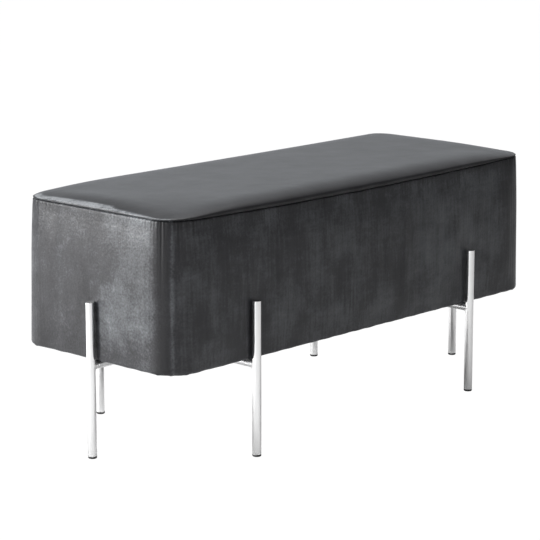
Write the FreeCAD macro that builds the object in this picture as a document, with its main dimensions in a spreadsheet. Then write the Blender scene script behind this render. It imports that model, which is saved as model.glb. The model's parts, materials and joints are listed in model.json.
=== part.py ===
import FreeCAD, Part
import math
import os

import Sketcher

# Upholstered bench on two welded leg frames of polished round tube
#
# Origin on the floor under the middle of the seat. +X runs along the seat,
# +Y runs from its front to its back and +Z is up. All sizes are millimetres.

doc = FreeCAD.newDocument("UpholsteredBench")


# Driving sizes

SIZES = [
    ("seat_length", 1000.0, "over the covers, end to end, where they are fullest"),
    ("seat_width", 390.0, "over the covers, front to back, where they are fullest"),
    ("seat_bottom", 177.5, "underside of the turned hem above the floor"),
    ("seam_height", 441.0, "sewn seam between the top panel and the side band"),
    ("crown_rise", 16.0, "how much higher the middle of the cushion is than its seam"),
    ("corner_radius", 58.0, "corner of the seat seen from above"),
    ("crown_reach", 60.0, "how far in from the seam the cushion goes on rising"),
    ("hem_radius", 11.0, "rounding of the lower edge of the seat"),
    ("band_bulge", 3.5, "how far the side band stands out past its seam"),
    ("seam_tuck", 2.6, "how far the seam itself is pulled in"),
    ("seam_roll", 6.0, "height of cover that rolls in to the seam"),
    ("seam_slit", 0.3, "gap between the two sewn edges"),
    ("cover_thick", 2.0, "velvet and its backing"),
    ("hem_width", 25.0, "cover turned under the seat, from the outside in"),
    ("soft_gap", 0.3, "clearance between soft layers"),
    ("wadding_thick", 10.0, "wadding on the sides, between cover and boards"),
    ("foam_thick", 50.0, "seat foam under the wadding, on the deck"),
    ("foam_crown", 14.0, "how far the foam's sides are lower than its middle"),
    ("wadding_top", 6.0, "wadding between the foam and the top panel"),
    ("deck_thick", 12.0, "plywood deck that carries the foam"),
    ("board_thick", 15.0, "front, back and end boards and the middle rib"),
    ("board_lift", 2.0, "room under the boards for the folds and staples of the hem"),
    ("rail_thick", 18.0, "rails that the leg frames are bolted to"),
    ("rail_width", 60.0, "rail above a crossbar"),
    ("strut_rail_width", 50.0, "rail above a strut"),
    ("dust_thick", 1.0, "woven sheet under the seat"),
    ("dust_inset", 16.0, "edge of the sheet, in from the outside of the seat"),
    ("dust_radius", 38.0, "corner of the sheet"),
    ("tube_diameter", 16.0, "legs, crossbars and struts"),
    ("tube_wall", 1.5, "wall of every tube"),
    ("leg_top", 281.5, "closed upper end of a leg above the floor"),
    ("leg_gap", 0.3, "clearance between a leg and the cover beside it"),
    ("bar_gap", 0.3, "clearance between the crossbars and the sheet above"),
    ("weld_gap", 0.1, "clearance at a coped end, filled by the weld"),
    ("frame_inset", 198.0, "crossbar's axis, in from the end of the seat"),
    ("leg_end_thick", 2.0, "disc welded in and polished flush at a leg's upper end"),
    ("foot_height", 4.0, "foot under the end of a leg"),
    ("foot_bevel", 1.0, "lower edge of a foot"),
    ("stem_length", 14.0, "part of a foot that is pushed up into the leg"),
    ("push_clearance", 0.15, "between a foot's stem and the tube, all round"),
    ("bolt_diameter", 6.0, "bolts that hold the leg frames up to the rails"),
    ("bolt_clearance", 0.25, "around every bolt, all round"),
    ("head_gap", 0.05, "between a bolt's head and the tube that it draws up"),
    ("hexagon_across", 10.0, "heads and nuts of those bolts, across their flats"),
    ("bolt_head_height", 4.0, "head of such a bolt from top to bottom"),
    ("nut_height", 5.0, "nut of such a bolt from top to bottom"),
    ("bolt_end", 2.0, "how far a bolt stands out of its nut"),
    ("bolt_spread", 110.0, "crossbar's bolts, either side of the middle"),
    ("strut_bolt_out", 70.0, "strut's bolt from the crossbar's axis"),
]

sheet = doc.addObject("Spreadsheet::Sheet", "Sizes")
for row, (alias, number, meaning) in enumerate(SIZES, start=1):
    sheet.set(f"A{row}", alias)
    sheet.set(f"B{row}", str(number))
    sheet.set(f"C{row}", meaning)
    sheet.setAlias(f"B{row}", alias)
doc.recompute()


def value(expression):
    """The number that an expression of the sheet's sizes comes to."""
    return float(sheet.evalExpression(expression))


# Places that follow from the driving sizes

HALF_LENGTH = "(Sizes.seat_length / 2)"
HALF_WIDTH = "(Sizes.seat_width / 2)"
TUBE_RADIUS = "(Sizes.tube_diameter / 2)"
TUBE_BORE_RADIUS = "(Sizes.tube_diameter / 2 - Sizes.tube_wall)"

# The boards stand inside the cover and its wadding
FRAME_DEPTH = "(Sizes.cover_thick + Sizes.wadding_thick + 2 * Sizes.soft_gap)"
BOARD_X = f"({HALF_LENGTH} - {FRAME_DEPTH})"
BOARD_Y = f"({HALF_WIDTH} - {FRAME_DEPTH})"
BOARD_BOTTOM = "(Sizes.seat_bottom + Sizes.cover_thick + Sizes.board_lift)"
BOARD_CORNER = f"(Sizes.corner_radius - {FRAME_DEPTH})"
CROWN_HEIGHT = "(Sizes.seam_height + Sizes.crown_rise)"
FOAM_TOP = f"({CROWN_HEIGHT} - Sizes.cover_thick - Sizes.wadding_top - 2 * Sizes.soft_gap)"
DECK_TOP = f"({FOAM_TOP} - Sizes.foam_thick)"
DECK_BOTTOM = f"({DECK_TOP} - Sizes.deck_thick)"

# The sheet under the seat lies on the turned hem, and the tubes lie under it
DUST_BOTTOM = "(Sizes.seat_bottom - Sizes.dust_thick)"
BAR_Z = f"({DUST_BOTTOM} - Sizes.bar_gap - {TUBE_RADIUS})"
BAR_X = f"({HALF_LENGTH} - Sizes.frame_inset)"
END_LEG_X = f"({HALF_LENGTH} + Sizes.leg_gap + {TUBE_RADIUS})"
SIDE_LEG_Y = f"({HALF_WIDTH} + Sizes.leg_gap + {TUBE_RADIUS})"
BOLT_HOLE_RADIUS = "(Sizes.bolt_diameter / 2 + Sizes.bolt_clearance)"
BOLT_CORNER = f"(Sizes.hexagon_across / {math.sqrt(3):.6f})"

# Each leg: its name and its axis
LEGS = [
    ("leg_front_left", f"-{BAR_X}", f"-{SIDE_LEG_Y}"),
    ("leg_front_right", BAR_X, f"-{SIDE_LEG_Y}"),
    ("leg_back_left", f"-{BAR_X}", SIDE_LEG_Y),
    ("leg_back_right", BAR_X, SIDE_LEG_Y),
    ("leg_end_left", f"-{END_LEG_X}", "0"),
    ("leg_end_right", END_LEG_X, "0"),
]

SIDES = [("left", -1), ("right", 1)]

# Each bolt that holds a leg frame up: two to a crossbar and one to a strut
BOLTS = []
for side_name, side in SIDES:
    for step in (-1, 1):
        BOLTS.append((f"{side} * {BAR_X}", f"{step} * Sizes.bolt_spread"))
    BOLTS.append((f"{side} * ({BAR_X} + Sizes.strut_bolt_out)", "0"))

sub_parts = []


# Ways of making a piece

def origin_plane(body, role):
    """One of a body's own origin planes or axes."""
    return next(item for item in body.Origin.OriginFeatures if item.Role == role)


def new_body(label):
    """An empty body under the name that it will be kept by."""
    body = doc.addObject("PartDesign::Body", label)
    body.Label = label
    return body


def new_sketch(body, name, role, height=None):
    """A sketch on one of the body's planes, moved along its normal if a height is given."""
    sketch = body.newObject("Sketcher::SketchObject", name)
    sketch.AttachmentSupport = (origin_plane(body, role), [""])
    sketch.MapMode = "FlatFace"
    if height is not None:
        sketch.setExpression("AttachmentOffset.Base.z", height)
    return sketch


def limit(sketch, name, kind, *references, to):
    """A named sketch dimension that follows an expression."""
    index = sketch.addConstraint(Sketcher.Constraint(kind, *references, value(to)))
    sketch.renameConstraint(index, name)
    sketch.setExpression(f"Constraints.{name}", to)


def place(item, x="0", y="0", z="0", rotation=None):
    """Put an item at a place given by expressions."""
    if rotation is not None:
        item.Placement = FreeCAD.Placement(FreeCAD.Vector(), rotation)
    item.setExpression("Placement.Base.x", x)
    item.setExpression("Placement.Base.y", y)
    item.setExpression("Placement.Base.z", z)


def keep(item, label=None):
    """Mark an item as a sub-part of the bench."""
    if label is not None:
        item.Label = label
    sub_parts.append(item)
    return item


def draw_circle(sketch, name, radius, x="0", y="0"):
    """A circle whose radius and centre follow expressions."""
    centre = FreeCAD.Vector(value(x), value(y), 0)
    circle = sketch.addGeometry(Part.Circle(centre, FreeCAD.Vector(0, 0, 1), value(radius)), False)
    limit(sketch, f"{name}_radius", "Radius", circle, to=radius)
    if x == "0":
        sketch.addConstraint(Sketcher.Constraint("PointOnObject", circle, 3, -2))
    else:
        limit(sketch, f"{name}_x", "DistanceX", -1, 1, circle, 3, to=x)
    if y == "0":
        sketch.addConstraint(Sketcher.Constraint("PointOnObject", circle, 3, -1))
    else:
        limit(sketch, f"{name}_y", "DistanceY", -1, 1, circle, 3, to=y)


def draw_polygon(sketch, corners):
    """A closed polygon whose corners follow pairs of expressions."""
    points = [FreeCAD.Vector(value(x), value(y), 0) for x, y in corners]
    count = len(points)
    first = sketch.GeometryCount
    for index in range(count):
        sketch.addGeometry(Part.LineSegment(points[index], points[(index + 1) % count]), False)
    for index in range(count):
        line = first + index
        following = first + (index + 1) % count
        sketch.addConstraint(Sketcher.Constraint("Coincident", line, 2, following, 1))
    for index, (x, y) in enumerate(corners):
        line = first + index
        if x == "0":
            sketch.addConstraint(Sketcher.Constraint("PointOnObject", line, 1, -2))
        else:
            limit(sketch, f"x{line}", "DistanceX", -1, 1, line, 1, to=x)
        if y == "0":
            sketch.addConstraint(Sketcher.Constraint("PointOnObject", line, 1, -1))
        else:
            limit(sketch, f"y{line}", "DistanceY", -1, 1, line, 1, to=y)


def draw_rounded_outline(sketch, half_length, half_width, corner):
    """A rectangle about the origin with round corners, from four lines and four arcs."""
    far_x = value(half_length)
    far_y = value(half_width)
    radius = value(corner)
    centre_x = far_x - radius
    centre_y = far_y - radius
    quarter = math.pi / 2
    rows = [
        ((-centre_x, -far_y), (centre_x, -far_y), (centre_x, -centre_y), 3),
        ((far_x, -centre_y), (far_x, centre_y), (centre_x, centre_y), 0),
        ((centre_x, far_y), (-centre_x, far_y), (-centre_x, centre_y), 1),
        ((-far_x, centre_y), (-far_x, -centre_y), (-centre_x, -centre_y), 2),
    ]
    for start, end, centre, turn in rows:
        line = Part.LineSegment(FreeCAD.Vector(*start, 0), FreeCAD.Vector(*end, 0))
        circle = Part.Circle(FreeCAD.Vector(*centre, 0), FreeCAD.Vector(0, 0, 1), radius)
        sketch.addGeometry(line, False)
        sketch.addGeometry(Part.ArcOfCircle(circle, turn * quarter, (turn + 1) * quarter), False)
    for index in range(4):
        line = 2 * index
        arc = line + 1
        sketch.addConstraint(Sketcher.Constraint("Tangent", line, 2, arc, 1))
        sketch.addConstraint(Sketcher.Constraint("Tangent", arc, 2, (line + 2) % 8, 1))
    for arc in (3, 5, 7):
        sketch.addConstraint(Sketcher.Constraint("Equal", 1, arc))
    sketch.addConstraint(Sketcher.Constraint("Symmetric", 0, 1, 0, 2, -2))
    sketch.addConstraint(Sketcher.Constraint("Symmetric", 2, 1, 2, 2, -1))
    sketch.addConstraint(Sketcher.Constraint("Horizontal", 4))
    sketch.addConstraint(Sketcher.Constraint("Vertical", 6))
    limit(sketch, "corner", "Radius", 1, to=corner)
    limit(sketch, "length", "DistanceX", 6, 1, 2, 1, to=f"2 * ({half_length})")
    limit(sketch, "width", "DistanceY", 0, 1, 4, 1, to=f"2 * ({half_width})")


def pad(body, sketch, length):
    """Material added from a sketch along its normal."""
    feature = body.newObject("PartDesign::Pad", f"{sketch.Name}_pad")
    feature.Profile = sketch
    feature.setExpression("Length", length)
    doc.recompute()
    return feature


def cut_through(body, sketch, length):
    """Material taken away from a sketch, forward along its normal."""
    before = body.Shape.Volume
    feature = body.newObject("PartDesign::Pocket", f"{sketch.Name}_cut")
    feature.Profile = sketch
    feature.Reversed = True
    feature.setExpression("Length", length)
    doc.recompute()
    if body.Shape.Volume >= before:
        raise RuntimeError(f"{sketch.Name} cuts nothing from {body.Label}")
    return feature


def revolve(body, corners):
    """A turned piece about the body's own Z axis, from a half profile of radius and height."""
    sketch = new_sketch(body, f"{body.Name}_profile", "XZ_Plane")
    draw_polygon(sketch, corners)
    feature = body.newObject("PartDesign::Revolution", f"{body.Name}_turned")
    feature.Profile = sketch
    feature.ReferenceAxis = (sketch, ["V_Axis"])
    feature.Angle = 360.0
    doc.recompute()
    return feature


def loft(body, sections, kind, name):
    """A ruled skin over rounded outlines: each a height, an inset and a corner radius."""
    sketches = []
    for index, (height, inset, corner) in enumerate(sections):
        sketch = new_sketch(body, f"{body.Name}_{name}_{index}", "XY_Plane", height)
        half_length = f"{HALF_LENGTH} - ({inset})"
        half_width = f"{HALF_WIDTH} - ({inset})"
        draw_rounded_outline(sketch, half_length, half_width, corner)
        sketches.append(sketch)
    feature = body.newObject(f"PartDesign::{kind}Loft", f"{body.Name}_{name}")
    feature.Profile = sketches[0]
    feature.Sections = sketches[1:]
    feature.Ruled = True
    doc.recompute()
    return feature


def prism(label, half_length, half_width, corner, bottom, height):
    """A flat piece with round corners, from its bottom upwards."""
    body = new_body(label)
    sketch = new_sketch(body, f"{label}_outline", "XY_Plane", bottom)
    draw_rounded_outline(sketch, half_length, half_width, corner)
    pad(body, sketch, height)
    return body


def block(label, length, width, height, x, y, z):
    """A sawn board, centred on x and y and standing on z."""
    body = new_body(label)
    sketch = new_sketch(body, f"{label}_outline", "XY_Plane")
    draw_polygon(sketch, [
        (f"-({length}) / 2", f"-({width}) / 2"),
        (f"({length}) / 2", f"-({width}) / 2"),
        (f"({length}) / 2", f"({width}) / 2"),
        (f"-({length}) / 2", f"({width}) / 2"),
    ])
    pad(body, sketch, height)
    place(body, x, y, z)
    return body


def drill(body, circles, radius, length, height=None):
    """Round holes up through a body, from its own level plane or from a height above it."""
    sketch = new_sketch(body, f"{body.Name}_holes", "XY_Plane", height)
    for index, (x, y) in enumerate(circles):
        draw_circle(sketch, f"hole{index}", radius, x, y)
    cut_through(body, sketch, length)


def group(label, members):
    """Identical pieces kept together as separate solids."""
    compound = doc.addObject("Part::Compound", label)
    compound.Links = members
    return keep(compound, label)


def toward(direction):
    """The turn that points a piece's own Z axis along a level direction."""
    return FreeCAD.Rotation(FreeCAD.Vector(0, 0, 1), FreeCAD.Vector(*direction, 0))


# The seat's outer form, as rounded outlines from the hem to the crown

# Angles of the outlines round the hem, over the crown and over the foam's shoulder
HEM_ANGLES = (0, 45)
CROWN_ANGLES = (8, 26, 44, 65, 90)
FOAM_ANGLES = (40, 90)

# Up the side band: share of its height, and share of the bulge by which it is drawn in
BAND_STEPS = ((0, 0.33), (0.45, 0), (1, 1))


def band_sections(depth, top):
    """The side band at a depth inside its face: hem rounding, full middle, drawn-in seam."""
    corner = f"(Sizes.corner_radius - ({depth}))"
    radius = f"(Sizes.hem_radius - ({depth}))"
    floor = f"(Sizes.seat_bottom + ({depth}))"
    spring = "(Sizes.seat_bottom + Sizes.hem_radius)"
    tuck_start = "(Sizes.seam_height - Sizes.seam_roll)"
    sections = []
    for degrees in HEM_ANGLES:
        rise = 1 - math.cos(math.radians(degrees))
        reach = 1 - math.sin(math.radians(degrees))
        height = f"{floor} + {radius} * {rise:.6f}"
        inset = f"({depth}) + {radius} * {reach:.6f} + Sizes.band_bulge * {BAND_STEPS[0][1]}"
        sections.append((height, inset, corner))
    for share, draw in BAND_STEPS:
        height = f"{spring} + ({tuck_start} - {spring}) * {share}"
        inset = f"({depth}) + Sizes.band_bulge * {draw}"
        sections.append((height, inset, corner))
    inset = f"({depth}) + Sizes.band_bulge + Sizes.seam_tuck"
    sections.append((top, inset, corner))
    return sections


def crown_sections(depth, bottom):
    """The cushion's top at a depth inside its face: a seam roll, then a flat ellipse."""
    rise = f"(Sizes.crown_rise - ({depth}))"
    reach = f"(Sizes.crown_reach - ({depth}))"
    start = f"(Sizes.band_bulge + ({depth}))"
    corner = f"(Sizes.corner_radius - ({depth}))"
    sections = [(bottom, f"{start} + Sizes.seam_tuck", corner)]
    for degrees in CROWN_ANGLES:
        up = math.sin(math.radians(degrees))
        inward = 1 - math.cos(math.radians(degrees))
        height = f"Sizes.seam_height + {rise} * {up:.6f}"
        inset = f"{start} + {reach} * {inward:.6f}"
        sections.append((height, inset, corner))
    return sections


def foam_sections(bottom, gap):
    """The foam slab, or the hollow that takes it with a gap: upright sides, then a crown."""
    inset = f"({FRAME_DEPTH} - ({gap}))"
    corner = f"({BOARD_CORNER} + ({gap}))"
    shoulder = f"({FOAM_TOP} - Sizes.foam_crown)"
    rise = f"(Sizes.foam_crown + ({gap}))"
    reach = f"(Sizes.band_bulge + Sizes.crown_reach - {FRAME_DEPTH})"
    sections = [(bottom, inset, corner), (shoulder, inset, corner)]
    for degrees in FOAM_ANGLES:
        up = math.sin(math.radians(degrees))
        inward = 1 - math.cos(math.radians(degrees))
        height = f"{shoulder} + {rise} * {up:.6f}"
        sections.append((height, f"{inset} + {reach} * {inward:.6f}", corner))
    return sections


def make_side_cover():
    """Velvet band: sewn to the top panel, down the sides and turned under the seat."""
    body = new_body("side_cover")
    top = "(Sizes.seam_height - Sizes.seam_slit / 2)"
    over = f"({top} + Sizes.seam_slit)"
    loft(body, band_sections("0", top), "Additive", "outside")
    loft(body, band_sections("Sizes.cover_thick", over), "Subtractive", "inside")
    window = new_sketch(body, "side_cover_window", "XY_Plane", "Sizes.seat_bottom")
    corner = "Sizes.corner_radius - Sizes.hem_width"
    half_length = f"{HALF_LENGTH} - Sizes.hem_width"
    half_width = f"{HALF_WIDTH} - Sizes.hem_width"
    draw_rounded_outline(window, half_length, half_width, corner)
    cut_through(body, window, "Sizes.cover_thick + Sizes.soft_gap")
    return keep(body)


def make_top_cover():
    """Velvet top panel over the crown of the cushion."""
    body = new_body("top_cover")
    bottom = "(Sizes.seam_height + Sizes.seam_slit / 2)"
    under = f"({bottom} - Sizes.seam_slit)"
    loft(body, crown_sections("0", bottom), "Additive", "outside")
    loft(body, crown_sections("Sizes.cover_thick", under), "Subtractive", "inside")
    return keep(body)


def make_wadding():
    """Wadding over the foam and down the outside of the boards."""
    body = new_body("wadding")
    depth = "(Sizes.cover_thick + Sizes.soft_gap)"
    band = band_sections(depth, "Sizes.seam_height")
    crown = crown_sections(depth, "Sizes.seam_height")
    band[-1] = ("Sizes.seam_height", crown[0][1], crown[0][2])
    loft(body, band, "Additive", "band")
    loft(body, crown, "Additive", "crown")
    loft(body, foam_sections("Sizes.seat_bottom", "Sizes.soft_gap"), "Subtractive", "hollow")
    return keep(body)


def make_seat_foam():
    """Foam slab on the deck, crowned like the cushion over it."""
    body = new_body("seat_foam")
    loft(body, foam_sections(DECK_TOP, "0"), "Additive", "slab")
    return keep(body)


def make_dust_cover():
    """Woven sheet stapled over the hem, with holes where the frame bolts pass."""
    half_length = f"{HALF_LENGTH} - Sizes.dust_inset"
    half_width = f"{HALF_WIDTH} - Sizes.dust_inset"
    body = prism(
        "dust_cover", half_length, half_width, "Sizes.dust_radius", DUST_BOTTOM, "Sizes.dust_thick"
    )
    drill(body, BOLTS, BOLT_HOLE_RADIUS, "Sizes.dust_thick", DUST_BOTTOM)
    return keep(body)


def make_carcass():
    """Boards, corner posts, deck and rib of the wooden box."""
    keep(prism("deck_board", BOARD_X, BOARD_Y, BOARD_CORNER, DECK_BOTTOM, "Sizes.deck_thick"))
    height = f"({DECK_BOTTOM} - {BOARD_BOTTOM})"

    for name, side in (("front_board", -1), ("back_board", 1)):
        length = f"2 * ({BOARD_X} - {BOARD_CORNER})"
        y = f"{side} * ({BOARD_Y} - Sizes.board_thick / 2)"
        keep(block(name, length, "Sizes.board_thick", height, "0", y, BOARD_BOTTOM))

    for name, side in (("left_end_board", -1), ("right_end_board", 1)):
        width = f"2 * ({BOARD_Y} - {BOARD_CORNER})"
        x = f"{side} * ({BOARD_X} - Sizes.board_thick / 2)"
        keep(block(name, "Sizes.board_thick", width, height, x, "0", BOARD_BOTTOM))

    for end_name, x_side, y_side, turn in (
        ("front_left", -1, -1, 180),
        ("front_right", 1, -1, 270),
        ("back_right", 1, 1, 0),
        ("back_left", -1, 1, 90),
    ):
        keep(make_corner_post(f"corner_post_{end_name}", x_side, y_side, turn, height))

    rib_width = f"2 * ({BOARD_Y} - Sizes.board_thick)"
    keep(block("middle_rib", "Sizes.board_thick", rib_width, height, "0", "0", BOARD_BOTTOM))


def make_corner_post(label, x_side, y_side, turn, height):
    """Quarter-round post: the boards are glued to its two flat faces."""
    body = new_body(label)
    sketch = new_sketch(body, f"{label}_outline", "XY_Plane")
    radius = value(BOARD_CORNER)
    centre = FreeCAD.Vector(0, 0, 0)
    circle = Part.Circle(centre, FreeCAD.Vector(0, 0, 1), radius)
    start = FreeCAD.Vector(radius, 0, 0)
    end = FreeCAD.Vector(0, radius, 0)
    sketch.addGeometry(Part.LineSegment(centre, start), False)
    sketch.addGeometry(Part.ArcOfCircle(circle, 0, math.pi / 2), False)
    sketch.addGeometry(Part.LineSegment(end, centre), False)
    sketch.addConstraint(Sketcher.Constraint("Coincident", 0, 1, -1, 1))
    sketch.addConstraint(Sketcher.Constraint("Coincident", 2, 2, -1, 1))
    sketch.addConstraint(Sketcher.Constraint("Coincident", 1, 3, -1, 1))
    sketch.addConstraint(Sketcher.Constraint("Coincident", 0, 2, 1, 1))
    sketch.addConstraint(Sketcher.Constraint("Coincident", 1, 2, 2, 1))
    sketch.addConstraint(Sketcher.Constraint("Horizontal", 0))
    sketch.addConstraint(Sketcher.Constraint("Vertical", 2))
    limit(sketch, "radius", "Radius", 1, to=BOARD_CORNER)
    pad(body, sketch, height)
    rotation = FreeCAD.Rotation(FreeCAD.Vector(0, 0, 1), turn)
    x = f"{x_side} * ({BOARD_X} - {BOARD_CORNER})"
    y = f"{y_side} * ({BOARD_Y} - {BOARD_CORNER})"
    place(body, x, y, BOARD_BOTTOM, rotation)
    return body


def make_rails():
    """Rails level with the hem, which the crossbars and struts are bolted up to."""
    for name, side in SIDES:
        width = f"2 * ({BOARD_Y} - Sizes.board_thick)"
        rail = block(
            f"base_rail_{name}", "Sizes.rail_width", width, "Sizes.rail_thick",
            f"{side} * {BAR_X}", "0", "Sizes.seat_bottom"
        )
        spots = [("0", "-Sizes.bolt_spread"), ("0", "Sizes.bolt_spread")]
        drill(rail, spots, BOLT_HOLE_RADIUS, "Sizes.rail_thick")
        keep(rail)

        length = f"({BOARD_X} - Sizes.board_thick - {BAR_X} - Sizes.rail_width / 2)"
        middle = f"({BAR_X} + Sizes.rail_width / 2 + {length} / 2)"
        strut_rail = block(
            f"strut_rail_{name}", length, "Sizes.strut_rail_width", "Sizes.rail_thick",
            f"{side} * {middle}", "0", "Sizes.seat_bottom"
        )
        offset = f"{side} * ({BAR_X} + Sizes.strut_bolt_out - {middle})"
        drill(strut_rail, [(offset, "0")], BOLT_HOLE_RADIUS, "Sizes.rail_thick")
        keep(strut_rail)


def make_leg(label, x, y):
    """One leg: a tube beside the seat, open below and closed flat at its upper end."""
    leg = new_body(label)
    top = "Sizes.leg_top - Sizes.foot_height"
    under_end = f"{top} - Sizes.leg_end_thick"
    revolve(leg, [
        (TUBE_BORE_RADIUS, "0"),
        (TUBE_RADIUS, "0"),
        (TUBE_RADIUS, top),
        ("0", top),
        ("0", under_end),
        (TUBE_BORE_RADIUS, under_end),
    ])
    place(leg, x, y, "Sizes.foot_height")
    return keep(leg)


def cylinder(label, radius, height, x, y, z, rotation=None):
    """A round bar placed by expressions."""
    item = doc.addObject("Part::Cylinder", label)
    item.setExpression("Radius", radius)
    item.setExpression("Height", height)
    place(item, x, y, z, rotation)
    return item


def coped_tube(label, length, x, y, direction, neighbours, holes):
    """A level tube, bored right through, with its ends cut to fit round its neighbours."""
    turn = toward(direction)
    outside = cylinder(f"{label}_outside", TUBE_RADIUS, length, x, y, BAR_Z, turn)
    bore = cylinder(f"{label}_bore", TUBE_BORE_RADIUS, length, x, y, BAR_Z, turn)
    tools = [bore]
    for index, (near_x, near_y, near_z, reach, near_turn) in enumerate(neighbours):
        radius = f"{TUBE_RADIUS} + Sizes.weld_gap"
        tools.append(cylinder(f"{label}_cope{index}", radius, reach, near_x, near_y, near_z, near_turn))
    for index, (hole_x, hole_y) in enumerate(holes):
        low = f"{BAR_Z} - Sizes.tube_diameter"
        tools.append(cylinder(
            f"{label}_hole{index}", BOLT_HOLE_RADIUS, "2 * Sizes.tube_diameter", hole_x, hole_y, low
        ))
    removed = doc.addObject("Part::MultiFuse", f"{label}_removed")
    removed.Shapes = tools
    tube = doc.addObject("Part::Cut", label)
    tube.Base = outside
    tube.Tool = removed
    return keep(tube, label)


def make_frames():
    """Six legs, and the coped crossbar and strut that join three of them at each end."""
    for name, x, y in LEGS:
        make_leg(name, x, y)
    for name, side in SIDES:
        bar_x = f"{side} * {BAR_X}"
        up = [
            (bar_x, f"-{SIDE_LEG_Y}", "0", "Sizes.leg_top", None),
            (bar_x, SIDE_LEG_Y, "0", "Sizes.leg_top", None),
        ]
        bolts = [(bar_x, "-Sizes.bolt_spread"), (bar_x, "Sizes.bolt_spread")]
        coped_tube(
            f"crossbar_{name}", f"2 * {SIDE_LEG_Y}", bar_x, f"-{SIDE_LEG_Y}", (0, 1), up, bolts
        )
        ends = [
            (f"{side} * {END_LEG_X}", "0", "0", "Sizes.leg_top", None),
            (bar_x, f"-{SIDE_LEG_Y}", BAR_Z, f"2 * {SIDE_LEG_Y}", toward((0, 1))),
        ]
        bolt = [(f"{side} * ({BAR_X} + Sizes.strut_bolt_out)", "0")]
        length = f"{END_LEG_X} - {BAR_X}"
        coped_tube(f"strut_{name}", length, bar_x, "0", (side, 0), ends, bolt)


def make_feet():
    """A foot pushed into the lower end of each leg."""
    feet = [make_foot(f"foot_{index}", x, y) for index, (name, x, y) in enumerate(LEGS, start=1)]
    group("feet", feet)


def hexagon(corner):
    """The six corners of a hexagon that reaches a given distance from its middle."""
    flat = f"({corner}) * {math.sqrt(3) / 2:.6f}"
    return [
        (corner, "0"),
        (f"({corner}) / 2", flat),
        (f"-({corner}) / 2", flat),
        (f"-({corner})", "0"),
        (f"-({corner}) / 2", f"-({flat})"),
        (f"({corner}) / 2", f"-({flat})"),
    ]


def make_foot(label, x, y):
    """A moulded foot: a pad as wide as the tube, with a six-sided stem up inside it."""
    foot = new_body(label)
    revolve(foot, [
        ("0", "0"),
        (f"{TUBE_RADIUS} - Sizes.foot_bevel", "0"),
        (TUBE_RADIUS, "Sizes.foot_bevel"),
        (TUBE_RADIUS, "Sizes.foot_height"),
        ("0", "Sizes.foot_height"),
    ])
    stem = new_sketch(foot, f"{label}_stem", "XY_Plane", "Sizes.foot_height")
    draw_polygon(stem, hexagon(f"{TUBE_BORE_RADIUS} - Sizes.push_clearance"))
    pad(foot, stem, "Sizes.stem_length")
    place(foot, x, y, "0")
    return foot


def make_frame_bolts():
    """Bolts up through the tubes and rails, and the nuts on top of the rails."""
    bolts = []
    nuts = []
    seat = f"({BAR_Z} - {TUBE_RADIUS} - Sizes.head_gap)"
    nut_seat = "(Sizes.seat_bottom + Sizes.rail_thick)"
    for index, (x, y) in enumerate(BOLTS, start=1):
        bolts.append(make_bolt(f"bolt_{index}", x, y, seat, nut_seat))
        nuts.append(make_nut(f"nut_{index}", x, y, nut_seat))
    group("frame_bolts", bolts)
    group("frame_nuts", nuts)


def make_bolt(label, x, y, seat, nut_seat):
    """A bolt with a six-sided head under its tube."""
    bolt = new_body(label)
    head = new_sketch(bolt, f"{label}_head", "XY_Plane", "-Sizes.bolt_head_height")
    draw_polygon(head, hexagon(BOLT_CORNER))
    pad(bolt, head, "Sizes.bolt_head_height")
    shank = new_sketch(bolt, f"{label}_shank", "XY_Plane")
    draw_circle(shank, "shank", "Sizes.bolt_diameter / 2")
    pad(bolt, shank, f"{nut_seat} + Sizes.nut_height + Sizes.bolt_end - {seat}")
    place(bolt, x, y, seat)
    return bolt


def make_nut(label, x, y, nut_seat):
    """A six-sided nut on top of a rail."""
    nut = new_body(label)
    outline = new_sketch(nut, f"{label}_outline", "XY_Plane")
    draw_polygon(outline, hexagon(BOLT_CORNER))
    draw_circle(outline, "bore", BOLT_HOLE_RADIUS)
    pad(nut, outline, "Sizes.nut_height")
    place(nut, x, y, nut_seat)
    return nut


# The bench, from the box outwards and then down to the floor

make_carcass()
make_rails()
make_seat_foam()
make_wadding()
make_top_cover()
make_side_cover()
make_dust_cover()
make_frames()
make_feet()
make_frame_bolts()
doc.recompute()


# Every piece is checked before any is written

for item in doc.Objects:
    if "Invalid" in item.State or "Error" in item.State:
        raise RuntimeError(f"{item.Label} did not build: {item.State}")
for part in sub_parts:
    if part.Shape.isNull() or not part.Shape.isValid():
        raise RuntimeError(f"{part.Label} has no valid shape")

os.makedirs("parts", exist_ok=True)
for part in sub_parts:
    part.Shape.exportStep(f"parts/{part.Label}.step")
    solids = len(part.Shape.Solids)
    print(f"{part.Label}: {solids} solid(s), {part.Shape.Volume / 1000:.1f} cm3")
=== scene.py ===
# %% [markdown]
# # A velvet bench on polished tube legs
# The bench is a wooden box padded with foam and wadding. One velvet panel covers its top, a
# second piece of velvet goes round its four sides, and a plain seam joins the two. Six chromed
# tube legs stand outside the box and touch it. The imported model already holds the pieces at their
# estimated real size, so this script only dresses it with velvet, chrome and a sheet underneath,
# and adds staples, weld beads, light and a camera.

import json
import math

import bpy
import numpy as np
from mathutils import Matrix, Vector, noise
from mathutils.kdtree import KDTree


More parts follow.
